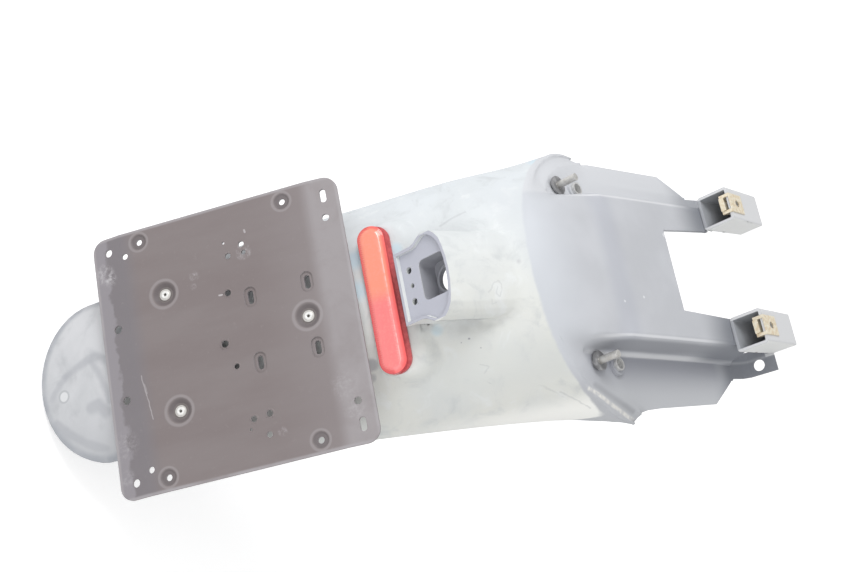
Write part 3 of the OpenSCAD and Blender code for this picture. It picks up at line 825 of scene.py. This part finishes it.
def rear_marks(m, rear):
    """Scratches, specks and stains on the weathered rear, and darker grey along the hood's right foot."""
    bent = m.wobbled(5, 1.3)
    for line, width, soft, share in SCRATCHES:
        rear = m.over(rear, m.times(m.stroke(line, width, soft, bent), share, SCRATCH_SHARE), SCRATCH_GREY)
    for at, r, soft, share in SMUDGES:
        rear = m.over(rear, m.times(m.near(at, r, soft, bent), share), SMUDGE_GREY)
    for at, r, soft in BLUE_STAINS:
        rear = m.over(rear, m.times(m.near(at, r, soft), 0.5), STAIN_BLUE)
    hood_foot = m.times(m.stroke(UNDER_HOOD, 1.0, 5.0), m.patchy(12, 3, 0.3, 0.6, 0.1, 0.4))
    return m.over(rear, hood_foot, HOOD_FOOT_GREY)


def ridge_marks(m, slate, side):
    """Painted shade and highlights along the plateau's side walls, and painted shade on the right flange."""
    right_side = m.ramp(m.x, -10, 10)
    ridge = m.plus(m.times(m.minus(m.y, RIDGE_AT_Y), RIDGE_SPREAD), RIDGE_AT)
    off_ridge = m.minus(side, ridge)
    beside = m.times(m.ramp(m.y, *BESIDE_FROM), m.ramp(m.y, *BESIDE_TO))
    # Painted shade on the right flange near the ridge
    flange = m.between(m.ramp(off_ridge, *FLANGE_OFF), FLANGE_SHADE, FLANGE_LIGHT)
    slate = m.mix(m.times(m.ramp(off_ridge, *FLANGE_FROM), beside, right_side), slate, flange)
    # Painted shade below the right ridge, painted highlights along the ridge and the wall's foot
    for lo, hi, soft, share, right_only, tint in RIDGE_SHADE_AND_HIGHLIGHTS:
        line = m.times(m.band(off_ridge, lo, hi, soft), beside, share)
        slate = m.over(slate, m.times(line, right_side) if right_only else line, tint)
    return slate


def arms_and_boxes(m, slate, side):
    """Painted light on the left flange, painted shade on the arms towards their ends and on the ears, and
    the boxes with painted light on their right sides and painted shade inside.
    """
    # Painted light on the left flange
    across, along, share, tint = LEFT_FLANGE
    slate = m.over(slate, m.times(m.ramp(m.x, *across), m.ramp(m.y, *along), share), tint)
    in_box = m.times(m.band(side, BOX_X - BOX_HALF, BOX_X + BOX_HALF, 0.2), m.ramp(m.z, *BOX_Z),
                     m.ramp(m.y, *BOX_Y))
    # Painted shade from the boxes on the arms and ears
    on_arm = m.times(m.ramp(m.y, *ARM_FADE_Y), m.ramp(side, EAR_SIDE, ARM_SIDE))
    on_ear = m.times(m.ramp(m.y, *EAR_FADE_Y), m.ramp(side, ARM_SIDE, EAR_SIDE),
                     m.ramp(m.x, -10, 10, 0.45, 1.0))
    slate = m.over(slate, m.times(m.math("MAXIMUM", on_arm, on_ear), m.inverse(in_box)), BOX_SHADE_ON_ARMS)
    # Painted light on the box sides that face right
    slate = m.mix(in_box, slate, m.between(m.facing((1, 0, 0), 0.4, 0.8), BOX_LIGHT, BOX_RIGHT_PAINTED_LIGHT))
    # Painted shade inside the boxes
    inside = m.times(in_box, m.band(side, BOX_X - BOX_INSIDE, BOX_X + BOX_INSIDE, 0.1),
                     m.ramp(m.z, *BOX_INSIDE_Z))
    return m.over(slate, inside, BOX_INSIDE_SHADE)


def sheltered_plastic(m):
    """Slate with a bluish cast, in front of the arc."""
    slate = m.between(m.ramp(m.noise(55, 3), 0.35, 0.65), SLATE_DARK, SLATE_LIGHT)
    along, share, tint = SLOPE
    slate = m.over(slate, m.ramp(m.y, *along, 0.0, share), tint)
    along, share, tint = PLATEAU_BAND
    slate = m.over(slate, m.times(m.band(m.y, *along), share), tint)
    side = m.absolute(m.x)
    slate = ridge_marks(m, slate, side)
    slate = arms_and_boxes(m, slate, side)
    for at, r in SLATE_SPECKS:
        slate = m.over(slate, m.times(m.near(at, r, 0.8), 0.7), SPECK_LIGHT)
    return slate


def ahead_of_arc(m):
    """0 behind the arc, 1 in front of it, with a slightly uneven line."""
    across = m.math("DIVIDE", m.x, ARC_HALF)
    root = m.math("SQRT", m.math("MAXIMUM", m.inverse(m.times(across, across)), 0.0))
    arc = m.plus(ARC_Y, m.times(m.inverse(root), ARC_DEPTH))
    uneven = m.times(m.minus(m.noise(11, 3), 0.5), 1.6)
    return m.ramp(m.plus(m.minus(m.y, arc), uneven), -0.4, 1.4)


def lamp_recess(m, color):
    """The lamp panel keeps the plastic's own colour; its pocket is darker as painted shade."""
    panel = m.times(m.band(m.y, *PANEL_Y), m.band(m.x, *PANEL_X), m.ramp(m.z, *PANEL_Z),
                    m.facing((0, -1, 0), 0.9, 0.99))
    color = m.over(color, panel, PANEL_GREY)
    # Painted shade in the lamp pocket
    pocket = m.times(m.band(m.y, *POCKET_Y), m.band(m.x, *POCKET_X), m.band(m.z, *POCKET_Z))
    return m.over(color, pocket, POCKET_SHADE)


def fender_material():
    m = Mat("fender", rough=0.55)
    m.preset("Specular IOR Level", 0.35)
    rear = m.mix(m.ramp(m.plate_y, *TAIL_FROM), weathered_rear(m), tail_flap(m))
    color = m.mix(ahead_of_arc(m), rear_marks(m, rear), sheltered_plastic(m))
    color = m.over(color, m.times(m.stroke(LIP_GROOVE, 0.4, 3.4), 0.5), GROOVE_DARK)
    scraped = m.times(m.stroke(SCRAPED_LIP, 0.6, 2.0), m.patchy(5, 4, 0.35, 0.6, 0.3, 0.9))
    color = m.over(color, scraped, LIP_LIGHT)
    color = lamp_recess(m, color)
    m.base(m.over(color, m.inverse(m.facing(PLATE_OUT, -0.25, -0.02)), WHEEL_SIDE))
    grain = m.plus(m.times(m.noise(0.7, 2), 0.6), m.times(m.noise(1.1, 2, 0.5), 0.4))
    m.bump(grain, 0.0002, 0.25, 0.6)
    return m


# Carrier: streaked base colours, then areas up the plate as start, full, strength and colour
CARRIER_DARK = (126, 117, 117)
CARRIER_LIGHT = (131, 123, 123)
CARRIER_UPPER = (20, 78, 0.6, (139, 132, 133))
CARRIER_LOWER = (-66, -82, 0.7, (122, 119, 124))
CARRIER_WORN = (-93, -97, 0.8, (148, 144, 149))
# Painted highlight on the upper folded band: range up the plate and colour
CARRIER_FOLD_HIGHLIGHT = ((71, 84), (154, 149, 151))
CARRIER_FINE = (160, 155, 154)

# Painted highlight rings and painted shade round the rivets' dimples and the corner holes: radius, width and
# softness where needed, strength and colour
RIVET_DIMPLE_HIGHLIGHT = ((11.4, 0.5, 1.4), 0.3, (176, 172, 174))
RIVET_DIMPLE_SHADE = [((8.4, 1.8), 0.6, (96, 90, 92)), ((6.4, 0.6), 0.6, (128, 122, 120))]
CORNER_SEATS = [(x, y) for x in (-96.4, 96.4) for y in (-65.1, 58.2)]
CORNER_RING_HIGHLIGHT = ((7.8, 0.4, 1.1), 0.3, (172, 168, 170))
CORNER_SHADE = ((5.8, 0.8), 0.6, (102, 97, 99))

# Scratches on the carrier: points, half width, softness and strength
PLATE_SCRATCHES = [([(13, -77), (30, -74), (48.9, -71.6)], 0.15, 0.5, 0.5),
                   ([(20, -75), (28, -73.5)], 0.2, 0.6, 0.3),
                   ([(-34.3, -3.5), (-34.3, -1.2)], 0.4, 0.6, 0.8),
                   ([(-81.5, 24.5), (-80, 24.8)], 0.5, 0.7, 0.7),
                   ([(-36, 88), (-28, 91), (-22, 90)], 0.3, 0.8, 0.5)]
PLATE_SCRATCH_GREY = (188, 184, 186)

# Rubbed patches on the carrier: x, y, radius, softness and strength
PLATE_SCUFFS = [(-78, -98, 5, 6, 0.8), (-72, -94, 3, 5, 0.8), (-55.5, -22.1, 2, 3, 0.6),
                (-47, -24, 1.5, 2, 0.5), (-64, 21, 5.5, 2, 0.5), (64, -98, 6, 9, 0.4), (83, 30, 2.5, 2, 0.5),
                (80, 88, 4, 7, 0.4), (60, 84, 5, 9, 0.35), (89, -100, 3, 6, 0.4)]
SCUFF_GREY = (188, 185, 188)

# Painted highlight round the carrier's border and on its cut edges: half width, half height, how far its
# middle lies below zero, and colours
BORDER_HALF = (104.4, 102.4)
BORDER_LOW = 1.3
BORDER_HIGHLIGHT = (163, 159, 162)
CUT_EDGE_HIGHLIGHT = (160, 155, 157)


def carrier_areas(m):
    """Colour of the sheet: streaks, then the areas up the plate."""
    streaks = m.noise(30, 4, 0.6, stretch=(1.0, 0.25, 0.25))
    worn_line = m.plus(m.plate_y, m.times(m.minus(m.noise(9, 3), 0.5), 14))
    color = m.between(m.ramp(streaks, 0.3, 0.7), CARRIER_DARK, CARRIER_LIGHT)
    for place, (start, full, share, tint) in ((m.plate_y, CARRIER_UPPER), (m.plate_y, CARRIER_LOWER),
                                              (worn_line, CARRIER_WORN)):
        color = m.over(color, m.ramp(place, start, full, 0.0, share), tint)
    return color


def carrier_marks(m, color):
    """Painted highlight rings and painted shade round rivets and corner holes, then scratches and scuffs."""
    for x, y in RIVETS.values():
        at = on_plate(x, y, -1) / MM
        # Painted highlight on the dimple's rim and painted shade on its slope
        ring, share, tint = RIVET_DIMPLE_HIGHLIGHT
        color = m.over(color, m.times(m.ring(at, *ring), share), tint)
        for seat, share, tint in RIVET_DIMPLE_SHADE:
            color = m.over(color, m.times(m.near(at, *seat), share), tint)
    for x, y in CORNER_SEATS:
        at = on_plate(x, y, -0.5) / MM
        # Painted highlight ring and painted shade round the corner hole
        ring, share, tint = CORNER_RING_HIGHLIGHT
        color = m.over(color, m.times(m.ring(at, *ring), share), tint)
        seat, share, tint = CORNER_SHADE
        color = m.over(color, m.times(m.near(at, *seat), share), tint)
    bent = m.wobbled(6, 1.0)
    for line, width, soft, share in PLATE_SCRATCHES:
        points = [on_plate(x, y) / MM for x, y in line]
        color = m.over(color, m.times(m.stroke(points, width, soft, bent), share), PLATE_SCRATCH_GREY)
    for x, y, r, soft, share in PLATE_SCUFFS:
        patch = m.near(on_plate(x, y) / MM, r, soft, bent)
        ragged = m.ramp(m.noise(3.5, 5, 0.75), 0.4, 0.75)
        color = m.over(color, m.times(patch, ragged, share), SCUFF_GREY)
    return color


def carrier_material():
    m = Mat("carrier", rough=0.5)
    m.preset("Specular IOR Level", 0.3)
    cloud = m.noise(26, 4, 0.6, 0.5)
    # Painted highlight on the upper folded band, in clouds
    limits, tint = CARRIER_FOLD_HIGHLIGHT
    fold_highlight = m.times(m.ramp(m.plate_y, *limits), m.ramp(cloud, 0.25, 0.6, 0.6, 1.0))
    color = m.over(carrier_areas(m), fold_highlight, tint)
    color = m.over(color, m.ramp(m.noise(3, 3, 0.6), 0.6, 0.85, 0.0, 0.22), CARRIER_FINE)
    color = carrier_marks(m, color)
    # Painted highlight round the carrier's border, in clouds
    across = m.minus(m.absolute(m.x), BORDER_HALF[0])
    along = m.minus(m.absolute(m.plus(m.plate_y, BORDER_LOW)), BORDER_HALF[1])
    border = m.ramp(m.math("MAXIMUM", across, along), -0.4, 1.6)
    color = m.over(color, m.times(border, m.ramp(cloud, 0.2, 0.6, 0.4, 0.9)), BORDER_HIGHLIGHT)
    # Painted highlight on the cut edges
    m.base(m.over(color, m.facing(PLATE_OUT, 0.6, 0.2), CUT_EDGE_HIGHLIGHT))
    m.bump(m.noise(1.1, 2), 0.0001, 0.2, 0.4)
    return m


# Lens colours: lower and upper half, glints in the cells, the bevel with painted light above and painted
# shade below, side wall, and a painted highlight on the crest
LENS_LOWER = (246, 128, 128)
LENS_UPPER = (247, 146, 122)
LENS_GLINT = (252, 160, 150)
BEVEL_LIT = (247, 92, 90)
BEVEL_SHADED = (214, 78, 80)
LENS_SIDE = (190, 70, 78)
LENS_CREST_HIGHLIGHT = (255, 205, 200)


def lens_material():
    m = Mat("reflector_red", rough=0.14)
    m.preset("Specular IOR Level", 0.5)
    m.preset("Coat Weight", 0.4)
    m.preset("Coat Roughness", 0.05)
    cells = m.noise(2.0, 2, 0.6)
    color = m.between(m.ramp(m.x, -8, 6, 1.0, 0.0), LENS_LOWER, LENS_UPPER)
    color = m.over(color, m.ramp(cells, 0.4, 0.75, 0.0, 0.25), LENS_GLINT)
    high = m.minus(m.plate_z, REFL_AT[1])
    away = m.minus(m.plate_y, REFL_AT[0])
    bevel = m.ramp(high, 4.5, 3.6)
    # Painted light on the upper bevel and painted shade on the lower one
    color = m.over(color, m.times(bevel, m.ramp(away, -2, 2), 0.8), BEVEL_LIT)
    color = m.over(color, m.times(bevel, m.ramp(away, 2, -2), 0.8), BEVEL_SHADED)
    color = m.over(color, m.times(m.ramp(high, 3.5, 3.1), 0.7), LENS_SIDE)
    # Painted highlight along the crest
    crest = m.times(m.band(high, 4.62, 4.95, 0.12), m.ramp(away, 4, 6),
                    m.patchy(4, 2, 0.35, 0.55, 0.4, 1.0))
    m.base(m.over(color, m.times(crest, 0.7), LENS_CREST_HIGHLIGHT))
    m.bump(cells, 0.0002, 0.15)
    return m


# Small hardware: roughness, metallic, light and dark colour and size of the dull patches
HARDWARE = {
    "reflector_back": (0.35, 0.0, (206, 98, 100), (180, 80, 84), 3.0),
    "nuts": (0.35, 0.9, (190, 190, 190), (160, 160, 160), 6.0),
    "clips": (0.4, 0.45, (248, 240, 220), (232, 214, 182), 3.0),
    "collars": (0.4, 0.5, (222, 222, 221), (196, 196, 195), 2.0),
    "bolts": (0.3, 0.55, (206, 205, 202), (186, 184, 180), 4.0),
}


def hardware_material(name, rough, metal, light, dark, grain):
    """Metal or moulded plastic with a little dullness in patches."""
    m = Mat(name, rough, metal)
    m.base(m.between(m.ramp(m.noise(grain, 4, 0.6), 0.35, 0.65), light, dark))
    m.bump(m.noise(0.5, 2), 0.0001, 0.2, 0.25)
    return m


# Rivet head: flange, crown, end of the pin and dull patches
RIVET_FLANGE = (206, 204, 200)
RIVET_CROWN = (240, 240, 238)
RIVET_PIN = (112, 108, 104)
RIVET_DULL = (180, 176, 170)


def rivet_material():
    m = Mat("rivets", 0.42, 0.35)
    color = srgb(*RIVET_FLANGE)
    for x, y in RIVETS.values():
        at = on_plate(x, y, -DIMPLE_DEPTH) / MM
        color = m.over(color, m.near(at, 3.0, 0.5), RIVET_CROWN)
        color = m.over(color, m.near(at, 1.15, 0.15), RIVET_PIN)
    m.base(m.over(color, m.patchy(1.5, 3, 0.5, 0.8, 0.0, 0.4), RIVET_DULL))
    m.bump(m.noise(0.6, 2), 0.0001, 0.15)
    return m


# Rubber, greyed by dust
RUBBER_CLEAN = (120, 120, 122)
RUBBER_DUSTY = (158, 158, 160)


def rubber_material():
    m = Mat("grommets", 0.35)
    m.base(m.between(m.ramp(m.noise(5, 2), 0.4, 0.7), RUBBER_CLEAN, RUBBER_DUSTY))
    m.bump(m.noise(0.8, 2), 0.0001, 0.3, 0.3)
    return m


MATS = {
    "fender": fender_material(),
    "carrier": carrier_material(),
    "rivets": rivet_material(),
    "reflector_red": lens_material(),
    "grommets": rubber_material(),
}
for slot, values in HARDWARE.items():
    MATS[slot] = hardware_material(slot, *values)

# New pieces by material slot
pieces = {
    "fender": [fender_shell(), lamp_boss()],
    "carrier": [carrier_plate(), burrs()],
    "reflector_red": [reflector()],
    "rivets": [rivet(name, x, y) for name, (x, y) in RIVETS.items()],
}
for slot, group in pieces.items():
    for ob in group:
        set_mat(ob, MATS[slot])

# CAD nodes that stay get their material
slots = {s["node"]: s["material_slot"] for s in frame["record"]["subparts"]}
for name, ob in nodes.items():
    if name not in replaced:
        set_mat(ob, MATS[slots[name]])

# Camera, fitted to the photograph
CAM_LENS = 55.25
CAM_AT = (0.3053, -0.987, 0.4647)
CAM_RIGHT = (0.1873, 0.6697, 0.7185)
CAM_AHEAD = (-0.3073, 0.7346, -0.605)

cam_data = bpy.data.cameras.new("camera")
cam_data.sensor_width = 36.0
cam_data.lens = CAM_LENS
cam_data.clip_start = 0.01
cam = bpy.data.objects.new("camera", cam_data)
scene.collection.objects.link(cam)
right = Vector(CAM_RIGHT).normalized()
ahead = Vector(CAM_AHEAD).normalized()
up = right.cross(ahead).normalized()
right = ahead.cross(up).normalized()
turn = Matrix((right, up, -ahead)).transposed().to_4x4()
cam.matrix_world = Matrix.Translation(CAM_AT) @ turn
scene.camera = cam

# Light and floor, in metres: lamps as place, aim, size and power
WORLD_LEVEL = 0.66
LAMPS = {"key": ((-1.1, -0.9, 1.1), (0, -0.2, -0.15), 1.1, 17),
         "fill": ((0.9, -1.3, 0.5), (0, -0.2, -0.2), 1.4, 6)}
FLOOR_Z = -0.442
FLOOR_RADIUS = 4.0
FLOOR_COLOR = (0.88, 0.88, 0.88, 1)
FLOOR_GLOW = 0.42


def studio_world():
    """Even light at a plain level, shown white to the camera and through clear parts."""
    world = bpy.data.worlds.new("studio")
    scene.world = world
    world.use_nodes = True
    tree = world.node_tree
    background = tree.nodes["Background"]
    background.inputs["Color"].default_value = (1, 1, 1, 1)
    path = tree.nodes.new("ShaderNodeLightPath")
    seen = tree.nodes.new("ShaderNodeMath")
    seen.operation = "MAXIMUM"
    tree.links.new(path.outputs["Is Camera Ray"], seen.inputs[0])
    tree.links.new(path.outputs["Is Transmission Ray"], seen.inputs[1])
    level = tree.nodes.new("ShaderNodeMapRange")
    tree.links.new(seen.outputs[0], level.inputs[0])
    level.inputs[3].default_value = WORLD_LEVEL
    level.inputs[4].default_value = 1.0
    tree.links.new(level.outputs[0], background.inputs["Strength"])


def area_light(name, at, aim, size, power):
    lamp = bpy.data.lights.new(name, "AREA")
    lamp.shape = "DISK"
    lamp.size = size
    lamp.energy = power
    ob = bpy.data.objects.new(name, lamp)
    scene.collection.objects.link(ob)
    ob.location = at
    ob.rotation_euler = (Vector(aim) - Vector(at)).to_track_quat("-Z", "Y").to_euler()


def studio_floor():
    """Pale floor that looks white and keeps a soft shadow."""
    bm = bmesh.new()
    bmesh.ops.create_circle(bm, cap_ends=True, radius=FLOOR_RADIUS, segments=96)
    mesh = bpy.data.meshes.new("floor")
    bm.to_mesh(mesh)
    bm.free()
    floor = bpy.data.objects.new("floor", mesh)
    floor.location = (0, 0, FLOOR_Z)
    scene.collection.objects.link(floor)
    m = Mat("floor", 0.9, 0.0, FLOOR_COLOR)
    m.preset("Specular IOR Level", 0.0)
    m.preset("Emission Color", (1, 1, 1, 1))
    path = m.node("ShaderNodeLightPath")
    seen = m.math("MAXIMUM", path.outputs["Is Camera Ray"], path.outputs["Is Transmission Ray"])
    m.put(m.bsdf.inputs["Emission Strength"], m.times(seen, FLOOR_GLOW))
    mesh.materials.append(m.m)
    floor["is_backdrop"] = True


studio_world()
for name, values in LAMPS.items():
    area_light(name, *values)
studio_floor()
scene.view_settings.view_transform = "Standard"


def plain(b):
    return [plain(v) for v in b] if isinstance(b, (list, tuple, Vector)) else float(b)


{"at_start": plain(size_at_start), "at_end": plain(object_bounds())}
